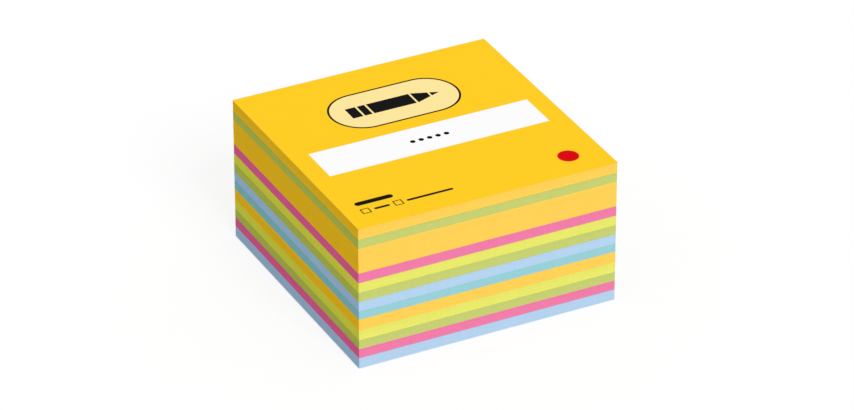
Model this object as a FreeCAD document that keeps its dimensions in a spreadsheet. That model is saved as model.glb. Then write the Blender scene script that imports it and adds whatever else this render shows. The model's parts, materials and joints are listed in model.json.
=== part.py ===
"""Sticky note pad: a square block of notes in thirteen colour blocks, with a cover and a backing sheet.

Frame: +Z up, origin at the centre of the underside. The notes are held along their +Y edge and
lift from their -Y edge, which is the front of the pad. Lengths are in millimetres.
"""

import FreeCAD
import Part
import Sketcher
import os

# Sizes of the paper, and of the low-tack strip that holds each note to the one below
PAPER_SIZES = {
    "note_width": 76.0,
    "note_depth": 76.0,
    "paper_thickness": 0.093,
    "cover_thickness": 0.12,
    "backing_thickness": 0.12,
    "adhesive_thickness": 0.02,
    "adhesive_width": 14.0,
    "adhesive_inset": 1.5,
}

# The colour blocks from the bottom upwards, with the number of notes in each: 450 in all
NOTES_IN_BLOCK = {
    "light_blue_block_bottom": 33,
    "pink_block_lower": 30,
    "green_block_lower": 29,
    "lime_block_lower": 31,
    "yellow_block_lower": 36,
    "aqua_block": 27,
    "light_blue_block_upper": 30,
    "green_block_middle": 30,
    "lime_block_upper": 31,
    "pink_block_upper": 31,
    "yellow_block_thick": 80,
    "green_block_upper": 29,
    "yellow_block_top": 33,
}

# Which point of a line a constraint holds, and the sketch's own origin as a point
START, END = 1, 2
ORIGIN = (-1, 1)


def notes_alias(block):
    """The name of the cell that holds a block's number of notes."""
    return "notes_in_" + block


def make_sizes(doc):
    """The spreadsheet of driving dimensions, one named cell for each."""
    sheet = doc.addObject("Spreadsheet::Sheet", "Sizes")
    cells = dict(PAPER_SIZES)
    cells.update({notes_alias(block): notes for block, notes in NOTES_IN_BLOCK.items()})
    for row, (alias, value) in enumerate(cells.items(), start=1):
        sheet.set(f"A{row}", alias)
        sheet.set(f"B{row}", str(value))
        sheet.setAlias(f"B{row}", alias)
    doc.recompute()


def origin_plane(body, role):
    """One of a body's own base planes, found by its role."""
    return next(plane for plane in body.Origin.OriginFeatures if plane.Role == role)


def draw_outline(sketch, right, back):
    """Four joined sides, symmetric about the origin, from the place of the right back corner."""
    corners = [
        FreeCAD.Vector(-right, -back, 0),
        FreeCAD.Vector(right, -back, 0),
        FreeCAD.Vector(right, back, 0),
        FreeCAD.Vector(-right, back, 0),
    ]
    for side, corner in enumerate(corners):
        following = (side + 1) % len(corners)
        sketch.addGeometry(Part.LineSegment(corner, corners[following]), False)
    for side in range(len(corners)):
        following = (side + 1) % len(corners)
        sketch.addConstraint(Sketcher.Constraint("Coincident", side, END, following, START))
    return range(len(corners))


def sketch_rectangle(body, width, depth):
    """A fully constrained rectangle centred on the body's origin, sized by two named cells."""
    sketch = body.newObject("Sketcher::SketchObject", body.Name + "_outline")
    sketch.AttachmentSupport = [(origin_plane(body, "XY_Plane"), "")]
    sketch.MapMode = "FlatFace"
    sheet = body.Document.Sizes
    front, right, back, left = draw_outline(sketch, sheet.get(width) / 2, sheet.get(depth) / 2)
    for side in (front, back):
        sketch.addConstraint(Sketcher.Constraint("Horizontal", side))
    for side in (right, left):
        sketch.addConstraint(Sketcher.Constraint("Vertical", side))
    sketch.addConstraint(Sketcher.Constraint("Symmetric", front, START, back, START, *ORIGIN))
    for name, kind, side, size in (
        ("width", "DistanceX", front, width),
        ("depth", "DistanceY", right, depth),
    ):
        distance = Sketcher.Constraint(kind, side, START, side, END, sheet.get(size))
        sketch.renameConstraint(sketch.addConstraint(distance), name)
        sketch.setExpression("Constraints." + name, "Sizes." + size)
    return sketch


def make_slab(doc, label, width, depth, thickness):
    """One flat rectangular piece standing on its body's own base plane."""
    body = doc.addObject("PartDesign::Body", label)
    body.Label = label
    sketch = sketch_rectangle(body, width, depth)
    pad = body.newObject("PartDesign::Pad", label + "_thickness")
    pad.Profile = sketch
    pad.setExpression("Length", thickness)
    body.Tip = pad
    return body


def top_of(piece):
    """The expression for the height of a piece's upper face."""
    return f"{piece.Name}.Placement.Base.z + {piece.Tip.Name}.Length"


def make_paper(doc, label, thickness, below):
    """A full-size piece of paper or block of notes, resting on the strip below it."""
    paper = make_slab(doc, label, "note_width", "note_depth", thickness)
    if below is not None:
        paper.setExpression(".Placement.Base.z", top_of(below))
    return paper


def make_adhesive(doc, held, below):
    """The strip along the back edge that sticks the piece named held to the piece below it."""
    label = "adhesive_under_" + held
    strip = make_slab(doc, label, "note_width", "adhesive_width", "Sizes.adhesive_thickness")
    strip.setExpression(
        ".Placement.Base.y",
        "Sizes.note_depth / 2 - Sizes.adhesive_inset - Sizes.adhesive_width / 2",
    )
    strip.setExpression(".Placement.Base.z", top_of(below))
    return strip


def make_pad(doc):
    """The whole stack, from the backing sheet up to the cover, with a strip under each piece."""
    backing = make_paper(doc, "backing_sheet", "Sizes.backing_thickness", None)
    pieces = [backing]
    stacked = [
        (block, f"Sizes.{notes_alias(block)} * Sizes.paper_thickness")
        for block in NOTES_IN_BLOCK
    ]
    stacked.append(("cover_sheet", "Sizes.cover_thickness"))
    for label, thickness in stacked:
        strip = make_adhesive(doc, label, pieces[-1])
        paper = make_paper(doc, label, thickness, strip)
        pieces += [strip, paper]
    return pieces


def check(doc, pieces):
    """Stops if any feature failed, or if a piece isn't one sound solid."""
    failed = [o.Name for o in doc.Objects if "Invalid" in o.State or "Error" in o.State]
    if failed:
        raise RuntimeError(f"features that failed: {failed}")
    for piece in pieces:
        shape = piece.Shape
        if shape.isNull() or not shape.isValid() or len(shape.Solids) != 1:
            raise RuntimeError(f"{piece.Label} isn't one valid solid")


def main():
    doc = FreeCAD.newDocument("sticky_note_pad")
    make_sizes(doc)
    pieces = make_pad(doc)
    doc.recompute()
    check(doc, pieces)
    os.makedirs("parts", exist_ok=True)
    for piece in pieces:
        piece.Shape.exportStep(os.path.join("parts", piece.Label + ".step"))
        low, high = piece.Shape.BoundBox.ZMin, piece.Shape.BoundBox.ZMax
        print(f"{piece.Label}: z {low:.3f} to {high:.3f}, volume {piece.Shape.Volume:.1f}")


main()
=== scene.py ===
"""Looks of a sticky note pad: blocks of thin coloured notes, a printed cover and a plain backing."""
import json
import math
from functools import reduce
from typing import NamedTuple

import bmesh
import bpy
import numpy as np
from bpy.props import FloatProperty, FloatVectorProperty, IntProperty, PointerProperty
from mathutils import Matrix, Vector
from mathutils.geometry import delaunay_2d_cdt


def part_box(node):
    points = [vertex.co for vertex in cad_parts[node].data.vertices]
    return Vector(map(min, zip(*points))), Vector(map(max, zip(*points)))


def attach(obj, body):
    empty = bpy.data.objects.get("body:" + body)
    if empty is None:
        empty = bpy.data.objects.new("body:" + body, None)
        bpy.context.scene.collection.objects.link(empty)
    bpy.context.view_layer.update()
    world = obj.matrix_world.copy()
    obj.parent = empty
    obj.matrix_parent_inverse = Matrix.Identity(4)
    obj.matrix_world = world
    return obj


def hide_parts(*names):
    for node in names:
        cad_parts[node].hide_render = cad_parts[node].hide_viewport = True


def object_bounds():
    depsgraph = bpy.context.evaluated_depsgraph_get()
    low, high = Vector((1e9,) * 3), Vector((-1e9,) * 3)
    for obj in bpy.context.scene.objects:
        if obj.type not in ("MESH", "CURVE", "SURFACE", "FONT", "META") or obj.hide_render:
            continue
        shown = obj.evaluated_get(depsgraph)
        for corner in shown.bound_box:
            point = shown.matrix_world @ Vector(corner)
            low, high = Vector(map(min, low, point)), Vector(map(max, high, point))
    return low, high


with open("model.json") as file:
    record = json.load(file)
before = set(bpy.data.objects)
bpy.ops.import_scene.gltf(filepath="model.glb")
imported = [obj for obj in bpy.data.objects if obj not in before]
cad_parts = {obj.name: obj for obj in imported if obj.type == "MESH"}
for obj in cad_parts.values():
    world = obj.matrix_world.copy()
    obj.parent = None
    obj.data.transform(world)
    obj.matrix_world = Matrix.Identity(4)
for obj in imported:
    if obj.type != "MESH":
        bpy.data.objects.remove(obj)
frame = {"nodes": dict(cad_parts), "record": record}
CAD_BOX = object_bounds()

bl_info = {
    "name": "Sticky Note Pad",
    "version": (1, 0, 0),
    "blender": (4, 5, 0),
    "location": "View3D > Sidebar > Note Pad",
    "description": "Builds a pad of coloured notes with a printed cover",
    "category": "Add Mesh",
}

MM = 0.001
BODY = "root"

# The blocks from the bottom upwards, with the number of notes in each
NOTES_IN_BLOCK = {
    "light_blue_block_bottom": 33,
    "pink_block_lower": 30,
    "green_block_lower": 29,
    "lime_block_lower": 31,
    "yellow_block_lower": 36,
    "aqua_block": 27,
    "light_blue_block_upper": 30,
    "green_block_middle": 30,
    "lime_block_upper": 31,
    "pink_block_upper": 31,
    "yellow_block_thick": 80,
    "green_block_upper": 29,
    "yellow_block_top": 33,
}

# What a block's faces know: the note that they belong to, and if they are its front edge, which gets
# painted light
NOTE_NUMBER = "note_number"
PAINTED_LIGHT_EDGE = "painted_light_edge"

# The picture's width in pixels and the camera's sensor in millimetres
PICTURE_WIDTH = 854
SENSOR_WIDTH = 36.0


def length(name, description, default_mm):
    """A length property, with its default given in millimetres."""
    return FloatProperty(
        name=name, description=description, default=default_mm * MM, unit="LENGTH", precision=6
    )


def angle(name, description, default_degrees):
    """An angle property, with its default given in degrees."""
    return FloatProperty(
        name=name, description=description, default=math.radians(default_degrees), subtype="ANGLE"
    )


def factor(name, description, default):
    """A property that is a share from 0 to 1."""
    return FloatProperty(
        name=name, description=description, default=default, subtype="FACTOR", min=0.0, max=1.0
    )


def amount(name, description, default):
    """A property that is any number from 0 upwards."""
    return FloatProperty(name=name, description=description, default=default, min=0.0)


def count(name, description, default, least=1):
    """A whole number."""
    return IntProperty(name=name, description=description, default=default, min=least)


def colour(name, description, default):
    """A colour property."""
    return FloatVectorProperty(
        name=name, description=description, default=default, subtype="COLOR", size=3, min=0.0, max=1.0
    )


class NotePadPaper(bpy.types.PropertyGroup):
    """The notes: how their cut edges look, and the colours that they come in."""

    inset: length("Inset", "How far the cut edges stand inside the pad's nominal size", 0.06)
    stagger: length("Stagger", "How far a note may lie to one side of its place", 0.03)
    waviness: length("Waviness", "How far a note's edge wanders along its length", 0.012)
    wave_length: length("Wave length", "Length of the wander along an edge", 9.0)
    sag: length("Sag", "How far the gaps between notes wander up or down", 0.02)
    gap: length("Gap", "Height of the gap that shows between two notes", 0.014)
    gap_depth: length("Gap depth", "How deep the gap between two notes runs", 0.03)
    segments: count("Segments", "Pieces that an edge is divided into", 20, least=2)
    seed: count("Seed", "Seed of the random places", 7)
    # Painted light: the share by which the front edges are mixed towards white, as the lamp's haze on
    # them
    pale: factor("Pale", "How much paler the loose front edges are than the other edges", 0.09)
    yellow: colour("Yellow", "Colour of the yellow notes", (0.955, 0.602, 0.010))
    green: colour("Green", "Colour of the green notes", (0.53, 0.60, 0.095))
    pink: colour("Pink", "Colour of the pink notes", (0.83, 0.135, 0.35))
    lime: colour("Lime", "Colour of the lime notes", (0.775, 0.78, 0.067))
    light_blue: colour("Light blue", "Colour of the light blue notes", (0.417, 0.62, 0.83))
    aqua: colour("Aqua", "Colour of the aqua notes", (0.252, 0.594, 0.645))
    backing: colour("Backing", "Colour of the backing sheet", (0.86, 0.86, 0.84))


class NotePadGlue(bpy.types.PropertyGroup):
    """The low-tack strips of glue."""

    colour: colour("Glue", "Colour of the glue strips", (0.86, 0.85, 0.80))
    inset: length("Inset", "Least distance from a strip's edge to its nominal edge", 0.3)
    raggedness: length("Raggedness", "How much further in the edge may wander", 0.5)
    rag_length: length("Rag length", "Length of the wander along an edge", 2.5)
    segments: count("Segments", "Pieces that a long edge is divided into", 90, least=2)
    seed: count("Seed", "Seed of the ragged edges", 3)


class NotePadPrint(bpy.types.PropertyGroup):
    """The cover's print: its plain fields and marks, and their inks."""

    paper: colour("Cover", "Colour of the cover", (0.97, 0.59, 0.008))
    white: colour("White", "Colour of the white strip", (0.95, 0.95, 0.95))
    cream: colour("Cream", "Colour of the emblem's panel", (0.96, 0.775, 0.33))
    dark: colour("Dark ink", "Colour of the dark marks", (0.0055, 0.005, 0.005))
    red: colour("Red ink", "Colour of the round spot", (0.68, 0.0006, 0.004))
    strip_width: length("Strip width", "Width of the white strip", 65.0)
    strip_height: length("Strip height", "Height of the white strip", 13.0)
    strip_y: length("Strip place", "Middle of the white strip, from the pad's middle", -3.9)
    dot: length("Dot", "Diameter of a dot on the strip", 1.5)
    dot_pitch: length("Dot pitch", "Distance from dot to dot", 2.5)
    dots: count("Dots", "Number of dots on the strip", 5)
    emblem_width: length("Emblem width", "Width of the emblem", 38.0)
    emblem_height: length("Emblem height", "Height of the emblem", 19.0)
    emblem_y: length("Emblem place", "Middle of the emblem, from the pad's middle", 17.0)
    emblem_line: length("Emblem line", "Thickness of the line round the emblem", 0.6)
    pencil_length: length("Pencil length", "Length of the emblem's pencil", 27.0)
    pencil_width: length("Pencil width", "Width of the emblem's pencil", 5.4)
    pencil_cone: length("Pencil cone", "Length of the pencil's sharpened end", 7.5)
    pencil_lead: length("Pencil lead", "Length of the pencil's lead", 2.6)
    pencil_ferrule: length("Pencil ferrule", "Length of the pencil's ferrule", 2.2)
    pencil_eraser: length("Pencil eraser", "Length of the pencil's eraser", 3.0)
    pencil_slit: length("Pencil slit", "Gap between the pencil's parts", 0.55)
    marks_x: length("Marks place, across", "Left end of the corner marks", -33.3)
    heading_y: length("Heading place", "Middle of the thick bar", -26.5)
    heading_width: length("Heading width", "Width of the thick bar", 11.0)
    heading_height: length("Heading height", "Height of the thick bar", 1.8)
    line_y: length("Line place", "Middle of the thin bars and small squares", -30.5)
    line_height: length("Line height", "Height of the thin bars", 0.9)
    mark: length("Square mark", "Side of a small square", 2.5)
    mark_line: length("Square line", "Thickness of a small square's line", 0.3)
    short_bar: length("Short bar", "Width of the short thin bar", 4.5)
    long_bar: length("Long bar", "Width of the long thin bar", 13.5)
    mark_gap: length("Mark gap", "Gap between marks in the line", 1.2)
    spot: length("Spot", "Diameter of the round red spot", 5.8)
    spot_x: length("Spot place, across", "Middle of the spot", 28.0)
    spot_y: length("Spot place, along", "Middle of the spot", -29.2)


class NotePadStage(bpy.types.PropertyGroup):
    """The camera, the floor and the light."""

    azimuth: angle("Azimuth", "Direction of the camera's view, from +Y towards +X", 26.98)
    elevation: angle("Elevation", "Height of the camera above the horizon", 30.51)
    distance: length("Distance", "Distance of the camera from the pad's middle", 1337.0)
    focal_pixels: amount("Focal length", "Focal length in the picture's pixels", 5000.0)
    aside: length("Aside", "How far the camera stands to the right of its aim", 1.065)
    above: length("Above", "How far the camera stands above its aim", -1.42)
    floor_size: length("Floor size", "Side of the floor", 6000.0)
    floor_gap: length("Floor gap", "Distance from the floor to the pad's underside", 0.01)
    floor_shade: factor("Floor shade", "Share of the light that the floor sends back to the pad", 0.435)
    floor_glow: factor("Floor glow", "Share of the floor's white that its shadow leaves", 0.82)
    sky: amount("Sky", "Strength of the even light from all round", 0.66)
    key: amount("Key", "Strength of the main lamp", 1.89)
    key_azimuth: angle("Key azimuth", "Side that the main lamp stands on, from -Y towards +X", 0.0)
    key_elevation: angle("Key elevation", "Height of the main lamp above the horizon", 37.6)
    key_softness: angle("Key softness", "How wide the main lamp looks from the pad", 25.0)


class TreeWriter:
    """Adds nodes to a tree and joins them, so that a formula reads as one."""

    def __init__(self, tree):
        self.tree = tree

    def node(self, kind, **settings):
        """A new node, with its own settings."""
        made = self.tree.nodes.new(kind)
        for name, value in settings.items():
            setattr(made, name, value)
        return made

    def put(self, socket, value):
        """Joins a socket to another one, or gives it a plain value."""
        if isinstance(value, bpy.types.NodeSocket):
            self.tree.links.new(value, socket)
        else:
            socket.default_value = value

    def math(self, operation, *values):
        """The result of an operation on numbers."""
        made = self.node("ShaderNodeMath", operation=operation)
        for socket, value in zip(made.inputs, values):
            self.put(socket, value)
        return made.outputs[0]

    def add(self, *values):
        """The sum of two or more values."""
        return reduce(lambda total, value: self.math("ADD", total, value), values)

    def subtract(self, value, less):
        """The first value less the second."""
        return self.math("SUBTRACT", value, less)

    def multiply(self, *values):
        """The product of two or more values."""
        return reduce(lambda total, value: self.math("MULTIPLY", total, value), values)

    def divide(self, value, by):
        """The first value divided by the second."""
        return self.math("DIVIDE", value, by)

    def either_way(self, fraction, reach):
        """Turns a value from 0 to 1 into one from minus reach to plus reach."""
        return self.multiply(self.subtract(fraction, 0.5), reach, 2.0)

    def split(self, vector):
        """The three parts of a vector."""
        made = self.node("ShaderNodeSeparateXYZ")
        self.put(made.inputs[0], vector)
        return made.outputs

    def join(self, x, y, z):
        """A vector from its three parts."""
        made = self.node("ShaderNodeCombineXYZ")
        for socket, value in zip(made.inputs, (x, y, z)):
            self.put(socket, value)
        return made.outputs[0]

    def vector_math(self, operation, first, second):
        """The result of an operation on two vectors."""
        made = self.node("ShaderNodeVectorMath", operation=operation)
        self.put(made.inputs[0], first)
        self.put(made.inputs[1], second)
        return made.outputs[0]

    def scaled(self, vector, times):
        """A vector or colour times a number."""
        made = self.node("ShaderNodeVectorMath", operation="SCALE")
        self.put(made.inputs[0], vector)
        self.put(made.inputs["Scale"], times)
        return made.outputs[0]

    def noise(self, vector, scale=1.0, detail=2.0):
        """Smooth noise from 0 to 1."""
        made = self.node("ShaderNodeTexNoise")
        self.put(made.inputs["Vector"], vector)
        self.put(made.inputs["Scale"], scale)
        self.put(made.inputs["Detail"], detail)
        return made.outputs["Fac"]

    def stored(self, geometry, name, value):
        """A mesh whose faces remember a value under a name."""
        made = self.node("GeometryNodeStoreNamedAttribute", data_type="FLOAT", domain="FACE")
        self.put(made.inputs["Geometry"], geometry)
        self.put(made.inputs["Name"], name)
        self.put(made.inputs["Value"], value)
        return made.outputs["Geometry"]

    def placed(self, geometry, position):
        """A mesh with its points put in other places."""
        made = self.node("GeometryNodeSetPosition")
        self.put(made.inputs["Geometry"], geometry)
        self.put(made.inputs["Position"], position)
        return made.outputs["Geometry"]

    def end(self, geometry, material):
        """Ends a geometry tree: a real mesh of one material."""
        real = self.node("GeometryNodeRealizeInstances")
        self.put(real.inputs["Geometry"], geometry)
        finished = self.node("GeometryNodeSetMaterial")
        self.put(finished.inputs["Geometry"], real.outputs["Geometry"])
        self.put(finished.inputs["Material"], material)
        self.put(self.node("NodeGroupOutput").inputs[0], finished.outputs["Geometry"])


def new_tree(name, inputs):
    """A geometry tree with its named inputs: the tree, its writer and the inputs' sockets."""
    tree = bpy.data.node_groups.new(name, "GeometryNodeTree")
    for label, kind in inputs.items():
        tree.interface.new_socket(name=label, in_out="INPUT", socket_type="NodeSocket" + kind)
    tree.interface.new_socket(name="Geometry", in_out="OUTPUT", socket_type="NodeSocketGeometry")
    return tree, TreeWriter(tree), tree.nodes.new("NodeGroupInput").outputs


# A number divided by this share of a size is 1 or more only at the size's very edge
NEARLY_HALF = 0.49999

# The side whose cut edges get painted light
FRONT = -1.0


def edge_side(write, value, size):
    """1 or -1 for a point on one of the two edges across a size, and 0 between them."""
    return write.math("TRUNC", write.divide(value, write.multiply(size, NEARLY_HALF)))


BLOCK_INPUTS = {
    "Width": "Float",
    "Depth": "Float",
    "Height": "Float",
    "Base": "Float",
    "Notes": "Int",
    "Inset": "Float",
    "Stagger": "Float",
    "Waviness": "Float",
    "Wave length": "Float",
    "Sag": "Float",
    "Gap": "Float",
    "Gap depth": "Float",
    "Segments": "Int",
    "Seed": "Int",
    "Paper": "Material",
}

# A note's edge has three rings of points: its lower arris, its upper arris and the gap above it.
# A point's step up its note is the number of its ring there, and the gap's is the last one.
RINGS_IN_NOTE = 3
UPPER_ARRIS = 1

# How fast the sag changes across, along and up a block, and the wander from note to note
SAG_SPEED = (0.4, 0.4, 2.0)
WANDER_SPEED = 0.73

# What brings a share times the rest of it up to 1 at the middle
PEAK = 4.0


def block_grid(write, given):
    """A closed box with the rings of points that its notes need, and the number of its last ring."""
    rings = write.subtract(write.multiply(given["Notes"], RINGS_IN_NOTE), 1)
    columns = write.add(given["Segments"], 1)
    cube = write.node("GeometryNodeMeshCube")
    write.put(cube.inputs["Size"], write.join(given["Width"], given["Depth"], given["Height"]))
    write.put(cube.inputs["Vertices X"], columns)
    write.put(cube.inputs["Vertices Y"], columns)
    write.put(cube.inputs["Vertices Z"], rings)
    return cube.outputs["Mesh"], write.subtract(rings, 1)


def note_and_step(write, place):
    """For a point's ring: its note, counted from 0, and its step up that note, from 0 to 2."""
    ring = write.math("ROUND", place)
    note = write.math("FLOOR", write.divide(write.add(ring, 0.5), RINGS_IN_NOTE))
    return note, write.subtract(ring, write.multiply(note, RINGS_IN_NOTE))


def ring_height(write, given, note, step, in_gap):
    """How high a ring lies: notes and gaps share the block, with no gap above the last note."""
    pitch = write.divide(write.add(given["Height"], given["Gap"]), given["Notes"])
    thickness = write.subtract(pitch, given["Gap"])
    up_note = write.multiply(write.math("MINIMUM", step, UPPER_ARRIS), thickness)
    up_gap = write.multiply(in_gap, given["Gap"], 0.5)
    return write.add(up_note, up_gap, write.multiply(note, pitch))


def ring_sag(write, given, across, along, share):
    """How far a ring wanders up or down: most at mid height, and not at all at the top and bottom."""
    place = write.vector_math("MULTIPLY", write.join(across, along, share), SAG_SPEED)
    bulge = write.multiply(share, write.subtract(1.0, share), PEAK)
    return write.multiply(write.either_way(write.noise(place), given["Sag"]), bulge)


def edge_reach(write, given, across, along, note, in_gap):
    """How far a point of a cut edge stands out from the nominal size. Below zero is inside it."""
    place = write.join(across, along, write.multiply(note, WANDER_SPEED))
    wander = write.either_way(write.noise(place), given["Waviness"])
    depth = write.add(given["Inset"], write.multiply(in_gap, given["Gap depth"]))
    return write.subtract(wander, depth)


def note_shift(write, given, note):
    """How far a whole note lies to the side of its place and in front of it, drawn at random."""
    random = write.node("FunctionNodeRandomValue", data_type="FLOAT_VECTOR")
    least = write.multiply(given["Stagger"], -1.0)
    write.put(random.inputs[0], write.join(least, least, 0.0))
    write.put(random.inputs[1], write.join(given["Stagger"], given["Stagger"], 0.0))
    write.put(random.inputs["ID"], note)
    write.put(random.inputs["Seed"], given["Seed"])
    aside, forward, _ = write.split(random.outputs[0])
    return aside, forward


def block_tree():
    """The geometry tree that makes one block: a closed stack with an edge and a gap for each note."""
    tree, write, given = new_tree("Note block", BLOCK_INPUTS)
    grid, last_ring = block_grid(write, given)
    x, y, z = write.split(write.node("GeometryNodeInputPosition").outputs[0])
    share = write.add(write.divide(z, given["Height"]), 0.5)
    place = write.multiply(share, last_ring)
    side_x = edge_side(write, x, given["Width"])
    side_y = edge_side(write, y, given["Depth"])

    face_note = write.math("FLOOR", write.divide(place, RINGS_IN_NOTE))
    numbered = write.stored(grid, NOTE_NUMBER, face_note)
    # The front cut faces are marked for painted light
    at_front = write.math("MAXIMUM", write.multiply(side_y, FRONT), 0.0)
    edged = write.stored(numbered, PAINTED_LIGHT_EDGE, at_front)

    note, step = note_and_step(write, place)
    in_gap = write.math("GREATER_THAN", step, UPPER_ARRIS + 0.5)
    across = write.divide(x, given["Wave length"])
    along = write.divide(y, given["Wave length"])
    reach = edge_reach(write, given, across, along, note, in_gap)
    aside, forward = note_shift(write, given, note)
    position = write.join(
        write.add(x, write.multiply(side_x, reach), aside),
        write.add(y, write.multiply(side_y, reach), forward),
        write.add(
            ring_height(write, given, note, step, in_gap),
            ring_sag(write, given, across, along, share),
            given["Base"],
        ),
    )
    write.end(write.placed(edged, position), given["Paper"])
    return tree


STRIP_INPUTS = {
    "Width": "Float",
    "Depth": "Float",
    "Height": "Float",
    "Middle": "Vector",
    "Inset": "Float",
    "Raggedness": "Float",
    "Rag length": "Float",
    "Segments": "Int",
    "Seed": "Int",
    "Glue": "Material",
}

# Rows of points from a strip's front edge to its back edge, and the noise from one seed to the next
STRIP_ROWS = 4
SEED_STEP = 3.7


def strip_tree():
    """The geometry tree that makes one strip of glue: a closed thin film with ragged edges."""
    tree, write, given = new_tree("Glue strip", STRIP_INPUTS)
    film = write.node("GeometryNodeMeshCube")
    write.put(film.inputs["Size"], write.join(given["Width"], given["Depth"], given["Height"]))
    write.put(film.inputs["Vertices X"], write.add(given["Segments"], 1))
    write.put(film.inputs["Vertices Y"], STRIP_ROWS)
    write.put(film.inputs["Vertices Z"], 2)

    # The same noise moves the film's upper and lower edge, so that its rim stays upright
    x, y, z = write.split(write.node("GeometryNodeInputPosition").outputs[0])
    across = write.divide(x, given["Rag length"])
    along = write.divide(y, given["Rag length"])
    rag = write.noise(write.join(across, along, write.multiply(given["Seed"], SEED_STEP)))
    inwards = write.add(given["Inset"], write.multiply(rag, given["Raggedness"]))
    ragged = write.join(
        write.subtract(x, write.multiply(edge_side(write, x, given["Width"]), inwards)),
        write.subtract(y, write.multiply(edge_side(write, y, given["Depth"]), inwards)),
        z,
    )
    position = write.vector_math("ADD", ragged, given["Middle"])
    write.end(write.placed(film.outputs["Mesh"], position), given["Glue"])
    return tree


def grow(name, tree, values):
    """An object whose plain mesh is what a geometry tree makes from the given values."""
    piece = bpy.data.objects.new(name, bpy.data.meshes.new(name))
    bpy.context.scene.collection.objects.link(piece)
    modifier = piece.modifiers.new(tree.name, "NODES")
    modifier.node_group = tree
    for item in tree.interface.items_tree:
        if item.in_out == "INPUT":
            modifier[item.identifier] = values[item.name]
    evaluated = piece.evaluated_get(bpy.context.evaluated_depsgraph_get())
    mesh = bpy.data.meshes.new_from_object(evaluated)
    if not mesh.polygons:
        raise RuntimeError(f"{name} came out empty")
    piece.modifiers.clear()
    piece.data = mesh
    mesh.name = name
    return piece


# The map that the finish of a piece is kept on, and the margin that keeps its parts clear of each other
FINISH_MAP = "OFBake"
MAP_MARGIN = 0.002

# A piece's four upright sides as (axis, sign), and the two axes that each axis's side is laid along
SIDES = ((1, -1), (0, -1), (1, 1), (0, 1))
LAID_ALONG = {0: (1, 2), 1: (0, 2), 2: (0, 1)}

# How nearly upright a face's normal is on a flat top or bottom
FLAT = 0.999


def map_cell(left, low, width, height):
    """A rectangle of a map, less the margin all round it."""
    return left + MAP_MARGIN, low + MAP_MARGIN, width - 2 * MAP_MARGIN, height - 2 * MAP_MARGIN


def share_map(row, top, bottom):
    """How a map is shared: rows of one size for the sides, from the bottom up, and two other cells."""
    width, height = row
    cells = {side: map_cell(0.0, place * height, width, height) for place, side in enumerate(SIDES)}
    cells[(2, 1)] = map_cell(*top)
    cells[(2, -1)] = map_cell(*bottom)
    return cells


# A block shows its cut sides, and the cover its printed face, so these get nearly all of their maps
BLOCK_MAP = share_map((1.0, 0.22), top=(0.0, 0.88, 0.12, 0.12), bottom=(0.12, 0.88, 0.12, 0.12))
COVER_MAP = share_map((0.95, 0.0125), top=(0.0, 0.05, 0.95, 0.95), bottom=(0.95, 0.95, 0.05, 0.05))


def read(items, name, width=1, kind=np.float32):
    """One property of all of a mesh's points, corners or faces, as an array."""
    values = np.empty(len(items) * width, kind)
    items.foreach_get(name, values)
    return values if width == 1 else values.reshape(-1, width)


def facing(mesh, low, high):
    """The axis and sign of each face's side: walls face the side that they are nearest to."""
    upwards = read(mesh.polygons, "normal", 3)[:, 2]
    from_middle = read(mesh.polygons, "center", 3) - (low + high) / 2
    reach = from_middle / (high - low)
    wall_axis = np.where(np.abs(reach[:, 0]) > np.abs(reach[:, 1]), 0, 1)
    flat = np.abs(upwards) > FLAT
    axis = np.where(flat, 2, wall_axis)
    sign = np.sign(np.where(flat, upwards, reach[np.arange(len(reach)), axis]))
    return axis, sign


def lay_out_map(mesh, cells):
    """Gives a flat piece the map that its finish is kept on, shared as the cells say."""
    points = read(mesh.vertices, "co", 3)
    low, high = points.min(0), points.max(0)
    corners = read(mesh.polygons, "loop_total", kind=np.int32)
    axis, sign = (np.repeat(values, corners) for values in facing(mesh, low, high))
    share = ((points - low) / (high - low))[read(mesh.loops, "vertex_index", kind=np.int32)]
    places = np.zeros((len(share), 2), np.float32)
    for (cell_axis, cell_sign), (left, base, width, height) in cells.items():
        here = (axis == cell_axis) & (sign == cell_sign)
        across, along = LAID_ALONG[cell_axis]
        places[here, 0] = left + width * share[here, across]
        places[here, 1] = base + height * share[here, along]
    mesh.uv_layers.new(name=FINISH_MAP).uv.foreach_set("vector", places.ravel())


class Finish(NamedTuple):
    """How a surface takes the light: its roughness, how far that varies, its gloss and its relief."""

    roughness: float
    variation: float
    gloss: float
    relief: float


class Pattern(NamedTuple):
    """A noise in a surface: its fineness in waves to the metre, its detail and its effect on shade."""

    fineness: float
    detail: float
    shade: float
    stretch: tuple = (1.0, 1.0, 1.0)


CUT_EDGE = Finish(roughness=0.86, variation=0.06, gloss=0.12, relief=0.006 * MM)
COATED = Finish(roughness=0.62, variation=0.08, gloss=0.08, relief=0.004 * MM)
DEEP_INK = COATED._replace(gloss=0.015)
UNCOATED = Finish(roughness=0.9, variation=0.05, gloss=0.15, relief=0.008 * MM)
TACKY = Finish(roughness=0.42, variation=0.2, gloss=0.3, relief=0.01 * MM)

# A cut edge: fibres, marks of the knife that run up it, and soft clouds of dye
EDGE_FIBRES = Pattern(fineness=5200.0, detail=3.0, shade=0.05)
KNIFE_MARKS = Pattern(fineness=2600.0, detail=2.0, shade=0.03, stretch=(1.0, 1.0, 0.02))
DYE_CLOUDS = Pattern(fineness=120.0, detail=1.0, shade=0.012)

# The shares of the fibres and the knife marks in a cut edge's relief
EDGE_RELIEF = (0.7, 0.5)

# How far a note's own shade may be from its block's
NOTE_SHADE = 0.022

# The cover's grain and the evenness of its ink, and the backing's fibres, longest along its depth
COVER_TOOTH = Pattern(fineness=3600.0, detail=3.0, shade=0.02)
INK_CLOUDS = Pattern(fineness=90.0, detail=2.0, shade=0.01)
LONG_FIBRES = Pattern(fineness=3200.0, detail=4.0, shade=0.05, stretch=(1.0, 0.45, 1.0))
PULP_CLOUDS = Pattern(fineness=400.0, detail=2.0, shade=0.03)

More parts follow.
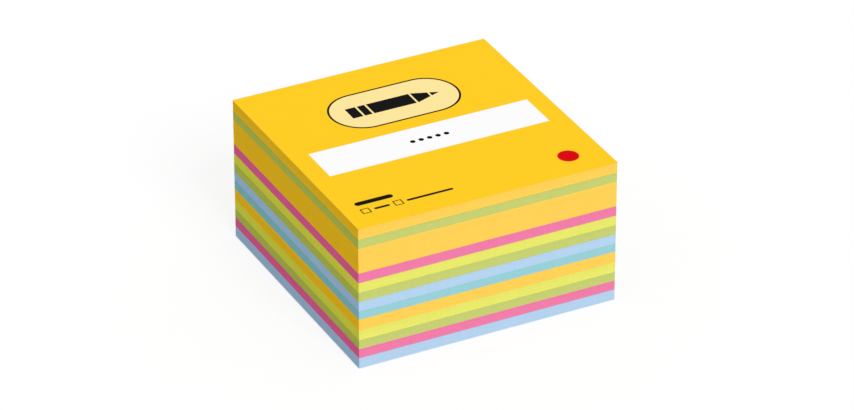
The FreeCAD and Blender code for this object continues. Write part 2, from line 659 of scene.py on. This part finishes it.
# Beads of glue to the metre, the shade at a bead's middle and how far that falls to its rim
GLUE_BEADS = 9000.0
BEAD_SHADE = 1.04
BEAD_FALL = 0.1


def new_material(name):
    """An empty material: the material, a writer for its nodes and the place of a point in it."""
    material = bpy.data.materials.new(name)
    material.use_nodes = True
    material.node_tree.nodes.clear()
    write = TreeWriter(material.node_tree)
    return material, write, write.node("ShaderNodeTexCoord").outputs["Object"]


def pattern_noise(write, place, pattern):
    """The noise of a pattern, from 0 to 1."""
    stretched = write.vector_math("MULTIPLY", place, pattern.stretch)
    return write.noise(stretched, pattern.fineness, pattern.detail)


def surface(write, finish, base, pattern, relief):
    """Ends a material: a colour, with a finish whose roughness and relief follow its patterns."""
    bump = write.node("ShaderNodeBump")
    write.put(bump.inputs["Strength"], 1.0)
    write.put(bump.inputs["Distance"], finish.relief)
    write.put(bump.inputs["Height"], relief)
    shader = write.node("ShaderNodeBsdfPrincipled")
    write.put(shader.inputs["Base Color"], base)
    write.put(shader.inputs["Roughness"], write.add(finish.roughness, pattern))
    write.put(shader.inputs["Normal"], bump.outputs["Normal"])
    shader.inputs["Specular IOR Level"].default_value = finish.gloss
    output = write.node("ShaderNodeOutputMaterial")
    write.put(output.inputs["Surface"], shader.outputs[0])


def note_paper(name, tint, pale):
    """Dyed paper seen at its cut edge: each note has its own shade, with fibres and knife marks.

    Painted light: the front edges are mixed towards white, as the lamp's haze on that side.
    """
    material, write, place = new_material(name)
    number = write.node("ShaderNodeAttribute", attribute_name=NOTE_NUMBER)
    painted_lit = write.node("ShaderNodeAttribute", attribute_name=PAINTED_LIGHT_EDGE)
    shade = write.node("ShaderNodeTexWhiteNoise", noise_dimensions="1D")
    write.put(shade.inputs["W"], number.outputs["Fac"])
    tone = write.add(1.0, write.either_way(shade.outputs["Value"], NOTE_SHADE))
    fibres, knife, clouds = (
        pattern_noise(write, place, pattern) for pattern in (EDGE_FIBRES, KNIFE_MARKS, DYE_CLOUDS)
    )
    tone = write.add(
        tone,
        write.either_way(fibres, EDGE_FIBRES.shade),
        write.either_way(knife, KNIFE_MARKS.shade),
        write.either_way(clouds, DYE_CLOUDS.shade),
    )
    # Painted light: the front faces' colour goes the given share of the way to white
    towards_white = tuple((1.0 - part) * pale for part in tint)
    paler = write.scaled(towards_white, painted_lit.outputs["Fac"])
    dye = write.vector_math("ADD", tuple(tint), paler)
    relief = write.add(write.multiply(fibres, EDGE_RELIEF[0]), write.multiply(knife, EDGE_RELIEF[1]))
    rough = write.either_way(fibres, CUT_EDGE.variation)
    surface(write, CUT_EDGE, write.scaled(dye, tone), rough, relief)
    return material


def plain_paper(name, tint, finish, fibre, cloud):
    """Paper seen on its face: an even colour with fibres and soft clouds."""
    material, write, place = new_material(name)
    fibres = pattern_noise(write, place, fibre)
    clouds = pattern_noise(write, place, cloud)
    tone = write.add(
        1.0, write.either_way(fibres, fibre.shade), write.either_way(clouds, cloud.shade)
    )
    rough = write.either_way(fibres, finish.variation)
    surface(write, finish, write.scaled(tuple(tint), tone), rough, fibres)
    return material


def cover_ink(name, tint, finish):
    """A printed field of the cover: flat ink that lets the sheet's fine grain through."""
    return plain_paper(name, tint, finish, COVER_TOOTH, INK_CLOUDS)


def backing_paper(name, tint):
    """Plain uncoated sheet with a soft mottle of fibres."""
    return plain_paper(name, tint, UNCOATED, LONG_FIBRES, PULP_CLOUDS)


def low_tack_glue(name, tint):
    """A thin milky film of tiny beads of glue."""
    material, write, place = new_material(name)
    beads = write.node("ShaderNodeTexVoronoi")
    write.put(beads.inputs["Vector"], place)
    write.put(beads.inputs["Scale"], GLUE_BEADS)
    bead = beads.outputs["Distance"]
    tone = write.subtract(BEAD_SHADE, write.multiply(bead, BEAD_FALL))
    rough = write.multiply(bead, TACKY.variation)
    dome = write.subtract(1.0, bead)
    surface(write, TACKY, write.scaled(tuple(tint), tone), rough, dome)
    return material


def place_piece(piece, slot, *nodes):
    """Lets a finished piece ride on the pad, in place of the nodes that it stands for."""
    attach(piece, BODY)
    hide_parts(*nodes)


def block_values(node, paper):
    """The sizes and places of a block's notes, by the names of the block tree's inputs."""
    low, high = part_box(node)
    size = high - low
    return {
        "Width": size.x,
        "Depth": size.y,
        "Height": size.z,
        "Base": low.z,
        "Notes": NOTES_IN_BLOCK[node],
        "Inset": paper.inset,
        "Stagger": paper.stagger,
        "Waviness": paper.waviness,
        "Wave length": paper.wave_length,
        "Sag": paper.sag,
        "Gap": paper.gap,
        "Gap depth": paper.gap_depth,
        "Segments": paper.segments,
    }


class NOTEPAD_OT_notes(bpy.types.Operator):
    """Build the thirteen blocks of notes, each with the cut edges of its separate notes"""

    bl_idname = "notepad.notes"
    bl_label = "Note Blocks"

    def execute(self, context):
        paper = context.scene.note_pad_paper
        tree = block_tree()
        papers = {}
        slots = {row["node"]: row["material_slot"] for row in frame["record"]["subparts"]}
        for number, node in enumerate(NOTES_IN_BLOCK):
            slot = slots[node]
            tint = slot.removeprefix("paper_")
            if tint not in papers:
                papers[tint] = note_paper(tint + "_notes", getattr(paper, tint), paper.pale)
            values = block_values(node, paper)
            values.update({"Seed": paper.seed + number, "Paper": papers[tint]})
            piece = grow(node.replace("block", "notes"), tree, values)
            lay_out_map(piece.data, BLOCK_MAP)
            place_piece(piece, slot, node)
        return {"FINISHED"}


def rectangle(x, y, width, height):
    """The corners of a rectangle, from its middle."""
    right, up = width / 2, height / 2
    return [(x - right, y - up), (x + right, y - up), (x + right, y + up), (x - right, y + up)]


# The number of straight steps in the half circle at a capsule's end
END_STEPS = 40


def capsule(x, y, width, height):
    """A long shape with half-round ends, from its middle."""
    radius = height / 2
    reach = width / 2 - radius
    outline = []
    for side in (1, -1):
        for step in range(END_STEPS + 1):
            turn = math.pi * (step / END_STEPS - 0.5)
            outward = reach + radius * math.cos(turn)
            outline.append((x + side * outward, y + side * radius * math.sin(turn)))
    return outline


def disc(x, y, diameter):
    """A round shape, from its middle."""
    outline = capsule(x, y, diameter, diameter)
    del outline[END_STEPS + 1], outline[-1]
    return outline


def pencil(look):
    """The emblem's pencil, as the outlines of its parts from the eraser to the lead."""
    left = -look.pencil_length / 2
    tip = -left
    y, slit, half = look.emblem_y, look.pencil_slit, look.pencil_width / 2
    eraser_end = left + look.pencil_eraser
    ferrule_start = eraser_end + slit
    ferrule_end = ferrule_start + look.pencil_ferrule
    cone_start = tip - look.pencil_cone
    lead_start = tip - look.pencil_lead
    wood_end = lead_start - slit

    def bar(start, end):
        return rectangle((start + end) / 2, y, end - start, look.pencil_width)

    def half_width(place):
        return half * (tip - place) / look.pencil_cone

    wood = [
        (cone_start, y - half),
        (wood_end, y - half_width(wood_end)),
        (wood_end, y + half_width(wood_end)),
        (cone_start, y + half),
    ]
    lead = [
        (lead_start, y - half_width(lead_start)),
        (tip, y),
        (lead_start, y + half_width(lead_start)),
    ]
    return [
        bar(left, eraser_end),
        bar(ferrule_start, ferrule_end),
        bar(ferrule_end + slit, cone_start - slit),
        wood,
        lead,
    ]


def emblem(look):
    """The pencil on its panel: (ink, outline) pairs."""
    line = 2 * look.emblem_line
    width, height = look.emblem_width, look.emblem_height
    return [
        ("dark", capsule(0.0, look.emblem_y, width, height)),
        ("cream", capsule(0.0, look.emblem_y, width - line, height - line)),
        *[("dark", part) for part in pencil(look)],
    ]


def dotted_strip(look):
    """The white strip and its row of dots: (ink, outline) pairs."""
    shapes = [("white", rectangle(0.0, look.strip_y, look.strip_width, look.strip_height))]
    first = -(look.dots - 1) / 2 * look.dot_pitch
    for number in range(look.dots):
        shapes.append(("dark", disc(first + number * look.dot_pitch, look.strip_y, look.dot)))
    return shapes


def corner_marks(look):
    """The bars and small squares in the front left corner: (ink, outline) pairs."""
    left = look.marks_x
    width, height = look.heading_width, look.heading_height
    shapes = [("dark", capsule(left + width / 2, look.heading_y, width, height))]
    opening = look.mark - 2 * look.mark_line
    for bar in (look.short_bar, look.long_bar):
        middle = left + look.mark / 2
        shapes.append(("dark", rectangle(middle, look.line_y, look.mark, look.mark)))
        shapes.append(("paper", rectangle(middle, look.line_y, opening, opening)))
        left += look.mark + look.mark_gap
        shapes.append(("dark", capsule(left + bar / 2, look.line_y, bar, look.line_height)))
        left += bar + look.mark_gap
    return shapes


def cover_print(look):
    """The print from the bottom upwards, as (ink, outline) pairs."""
    return [
        *dotted_strip(look),
        *emblem(look),
        *corner_marks(look),
        ("red", disc(look.spot_x, look.spot_y, look.spot)),
    ]


# The cover's inks, with their finishes
INKS = {"paper": COATED, "white": COATED, "cream": COATED, "dark": DEEP_INK, "red": DEEP_INK}

# Points of the print that are nearer than this many millimetres count as one
MERGE_DISTANCE = 1e-6

# The kind of division that keeps the triangles inside the outlines and no others
INSIDE_OUTLINES = 1


def divide_print(outline, shapes):
    """Divides a sheet along its print: its points, its triangles and the ink of each triangle."""
    order = list(INKS)
    inks = [order.index("paper")] + [order.index(ink) for ink, _ in shapes]
    points, faces = [], []
    for shape in [outline] + [part for _, part in shapes]:
        faces.append(list(range(len(points), len(points) + len(shape))))
        points += [Vector(point) / MM for point in shape]
    found = delaunay_2d_cdt(points, [], faces, INSIDE_OUTLINES, MERGE_DISTANCE)
    points, triangles, covered_by = found[0], found[2], found[5]
    return [point * MM for point in points], triangles, [inks[max(by)] for by in covered_by]


def close_below(sheet, low):
    """Adds the walls under a flat sheet's rim, and its underside, always in the same order."""
    rim = [edge.link_loops[0] for edge in sheet.edges if edge.is_boundary]
    below = {}
    for loop in rim:
        x, y, _ = loop.vert.co
        below[loop.vert] = sheet.verts.new((x, y, low))
    for loop in rim:
        first, second = loop.vert, loop.link_loop_next.vert
        sheet.faces.new([second, first, below[first], below[second]])
    clockwise = sorted(below.values(), key=lambda corner: math.atan2(corner.co.x, corner.co.y))
    sheet.faces.new(clockwise)


def printed_sheet(name, low, high, shapes):
    """A closed thin sheet whose upper face is divided along the outlines of its print."""
    middle, size = (low + high) / 2, high - low
    outline = rectangle(middle.x, middle.y, size.x, size.y)
    points, triangles, inks = divide_print(outline, shapes)
    sheet = bmesh.new()
    top = [sheet.verts.new((point.x, point.y, high.z)) for point in points]
    for triangle, ink in zip(triangles, inks):
        sheet.faces.new([top[corner] for corner in triangle]).material_index = ink
    close_below(sheet, low.z)
    if not all(edge.is_contiguous for edge in sheet.edges):
        raise RuntimeError(f"{name} isn't closed, or a face of it points the wrong way")
    mesh = bpy.data.meshes.new(name)
    sheet.to_mesh(mesh)
    sheet.free()
    return mesh


class NOTEPAD_OT_cover(bpy.types.Operator):
    """Build the cover sheet with its printed fields and marks"""

    bl_idname = "notepad.cover"
    bl_label = "Printed Cover"

    def execute(self, context):
        look = context.scene.note_pad_print
        low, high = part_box("cover_sheet")
        mesh = printed_sheet("printed_cover", low, high, cover_print(look))
        for ink, finish in INKS.items():
            mesh.materials.append(cover_ink("cover_" + ink, getattr(look, ink), finish))
        lay_out_map(mesh, COVER_MAP)
        piece = bpy.data.objects.new("printed_cover", mesh)
        context.scene.collection.objects.link(piece)
        place_piece(piece, "cover_yellow", "cover_sheet")
        return {"FINISHED"}


class NOTEPAD_OT_backing(bpy.types.Operator):
    """Finish the backing sheet as plain white paper"""

    bl_idname = "notepad.backing"
    bl_label = "Backing Sheet"

    def execute(self, context):
        paper = backing_paper("backing_paper", context.scene.note_pad_paper.backing)
        for slot in frame["nodes"]["backing_sheet"].material_slots:
            slot.material = paper
        return {"FINISHED"}


def strip_values(node, look):
    """The sizes and place of a strip of glue, by the names of the strip tree's inputs."""
    low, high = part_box(node)
    size = high - low
    return {
        "Width": size.x,
        "Depth": size.y,
        "Height": size.z,
        "Middle": (low + high) / 2,
        "Inset": look.inset,
        "Raggedness": look.raggedness,
        "Rag length": look.rag_length,
        "Segments": look.segments,
    }


class NOTEPAD_OT_adhesive(bpy.types.Operator):
    """Build the low-tack strips that hold the blocks and the cover together"""

    bl_idname = "notepad.adhesive"
    bl_label = "Glue Strips"

    def execute(self, context):
        look = context.scene.note_pad_glue
        tree = strip_tree()
        glue = low_tack_glue("low_tack_glue", look.colour)
        for number, held in enumerate([*NOTES_IN_BLOCK, "cover_sheet"]):
            node = "adhesive_under_" + held
            values = strip_values(node, look)
            values.update({"Seed": look.seed + number, "Glue": glue})
            piece = grow("glue_under_" + held.replace("block", "notes"), tree, values)
            place_piece(piece, "adhesive", node)
        return {"FINISHED"}


WHITE = (1.0, 1.0, 1.0, 1.0)

# Rays shorter than this many floor gaps pass through the floor
CLEAR_GAPS = 3


def grey(level):
    """A neutral colour."""
    return (level, level, level, 1.0)


def seen_by_eye(write, path):
    """1 for a ray that shows a thing to the camera, straight, mirrored or through glass."""
    seen = write.math("MAXIMUM", path.outputs["Is Camera Ray"], path.outputs["Is Glossy Ray"])
    return write.math("MAXIMUM", seen, path.outputs["Is Transmission Ray"])


def coloured(write, kind, tint):
    """A shader of one colour."""
    made = write.node(kind)
    made.inputs["Color"].default_value = tint
    return made


def mixed(write, share, first, second):
    """A shader that goes from the first to the second as the share goes from 0 to 1."""
    made = write.node("ShaderNodeMixShader")
    write.put(made.inputs["Fac"], share)
    write.put(made.inputs[1], first.outputs[0])
    write.put(made.inputs[2], second.outputs[0])
    return made


def floor_white(shade, glow, gap):
    """White that keeps the pad's soft shadow. From below, and for the shortest rays, it is clear."""
    material, write, _ = new_material("floor_white")
    path = write.node("ShaderNodeLightPath")
    lighting = coloured(write, "ShaderNodeBsdfDiffuse", grey(shade))
    shadowed = coloured(write, "ShaderNodeBsdfDiffuse", grey(1.0 - glow))
    glowing = coloured(write, "ShaderNodeEmission", WHITE)
    glowing.inputs["Strength"].default_value = glow
    seen = write.node("ShaderNodeAddShader")
    write.put(seen.inputs[0], shadowed.outputs[0])
    write.put(seen.inputs[1], glowing.outputs[0])
    upper = mixed(write, seen_by_eye(write, path), lighting, seen)
    below = write.node("ShaderNodeNewGeometry").outputs["Backfacing"]
    short = write.math("LESS_THAN", path.outputs["Ray Length"], CLEAR_GAPS * gap)
    clear = coloured(write, "ShaderNodeBsdfTransparent", WHITE)
    whole = mixed(write, write.math("MAXIMUM", below, short), upper, clear)
    output = write.node("ShaderNodeOutputMaterial")
    write.put(output.inputs["Surface"], whole.outputs[0])
    return material


def add_floor(stage):
    """The floor, a hair's breadth under the pad, so that the pad's underside is lit."""
    size, gap = stage.floor_size, stage.floor_gap
    mesh = bpy.data.meshes.new("floor")
    corners = [(x, y, -gap) for x, y in rectangle(0.0, 0.0, size, size)]
    mesh.from_pydata(corners, [], [(0, 1, 2, 3)])
    mesh.materials.append(floor_white(stage.floor_shade, stage.floor_glow, gap))
    floor = bpy.data.objects.new("floor", mesh)
    bpy.context.scene.collection.objects.link(floor)


def add_world(stage):
    """Even white light from all round, seen as plain white."""
    world = bpy.data.worlds.new("studio")
    bpy.context.scene.world = world
    world.use_nodes = True
    world.node_tree.nodes.clear()
    write = TreeWriter(world.node_tree)
    sky = coloured(write, "ShaderNodeBackground", WHITE)
    sky.inputs["Strength"].default_value = stage.sky
    white = coloured(write, "ShaderNodeBackground", WHITE)
    path = write.node("ShaderNodeLightPath")
    whole = mixed(write, seen_by_eye(write, path), sky, white)
    output = write.node("ShaderNodeOutputWorld")
    write.put(output.inputs["Surface"], whole.outputs[0])


def add_key(stage):
    """The main lamp: a broad soft light from above the pad's front."""
    lamp = bpy.data.lights.new("key", "SUN")
    lamp.energy = stage.key
    lamp.angle = stage.key_softness
    key = bpy.data.objects.new("key", lamp)
    side, up = stage.key_azimuth, stage.key_elevation
    towards = Vector((math.cos(up) * math.sin(side), -math.cos(up) * math.cos(side), math.sin(up)))
    key.rotation_mode = "QUATERNION"
    key.rotation_quaternion = towards.to_track_quat("Z", "Y")
    key.location = towards
    bpy.context.scene.collection.objects.link(key)


def add_camera(stage):
    """The camera at the picture's viewing angle, with a long lens."""
    lens = bpy.data.cameras.new("camera")
    lens.sensor_width = SENSOR_WIDTH
    lens.lens = stage.focal_pixels / PICTURE_WIDTH * SENSOR_WIDTH
    camera = bpy.data.objects.new("camera", lens)
    turn, up = stage.azimuth, stage.elevation
    forward = Vector((math.cos(up) * math.sin(turn), math.cos(up) * math.cos(turn), -math.sin(up)))
    aim = (CAD_BOX[0] + CAD_BOX[1]) / 2
    right = forward.cross(Vector((0, 0, 1))).normalized()
    above = right.cross(forward)
    camera.location = aim - forward * stage.distance + right * stage.aside + above * stage.above
    camera.rotation_mode = "QUATERNION"
    camera.rotation_quaternion = forward.to_track_quat("-Z", "Y")
    bpy.context.scene.collection.objects.link(camera)
    bpy.context.scene.camera = camera


class NOTEPAD_OT_stage(bpy.types.Operator):
    """Build the floor, the light and the camera"""

    bl_idname = "notepad.stage"
    bl_label = "Stage"

    def execute(self, context):
        stage = context.scene.note_pad_stage
        context.scene.view_settings.view_transform = "Standard"
        add_camera(stage)
        add_floor(stage)
        add_world(stage)
        add_key(stage)
        return {"FINISHED"}


class NOTEPAD_PT_panel(bpy.types.Panel):
    """The pad's sizes and colours, with a button for each group of pieces"""

    bl_label = "Note Pad"
    bl_space_type = "VIEW_3D"
    bl_region_type = "UI"
    bl_category = "Note Pad"

    def draw(self, context):
        scene = context.scene
        for settings, operators in (
            (scene.note_pad_stage, (NOTEPAD_OT_stage,)),
            (scene.note_pad_paper, (NOTEPAD_OT_notes, NOTEPAD_OT_backing)),
            (scene.note_pad_glue, (NOTEPAD_OT_adhesive,)),
            (scene.note_pad_print, (NOTEPAD_OT_cover,)),
        ):
            box = self.layout.box()
            for name in type(settings).__annotations__:
                box.prop(settings, name)
            for operator in operators:
                box.operator(operator.bl_idname)


CLASSES = (
    NotePadPaper,
    NotePadGlue,
    NotePadPrint,
    NotePadStage,
    NOTEPAD_OT_stage,
    NOTEPAD_OT_notes,
    NOTEPAD_OT_cover,
    NOTEPAD_OT_backing,
    NOTEPAD_OT_adhesive,
    NOTEPAD_PT_panel,
)

SETTINGS = {
    "note_pad_paper": NotePadPaper,
    "note_pad_glue": NotePadGlue,
    "note_pad_print": NotePadPrint,
    "note_pad_stage": NotePadStage,
}


def register():
    for kind in CLASSES:
        bpy.utils.register_class(kind)
    for name, kind in SETTINGS.items():
        setattr(bpy.types.Scene, name, PointerProperty(type=kind))


def unregister():
    for name in SETTINGS:
        delattr(bpy.types.Scene, name)
    for kind in reversed(CLASSES):
        bpy.utils.unregister_class(kind)


def main():
    register()
    bpy.ops.notepad.stage()
    bpy.ops.notepad.notes()
    bpy.ops.notepad.cover()
    bpy.ops.notepad.backing()
    bpy.ops.notepad.adhesive()


if __name__ == "__main__":
    main()
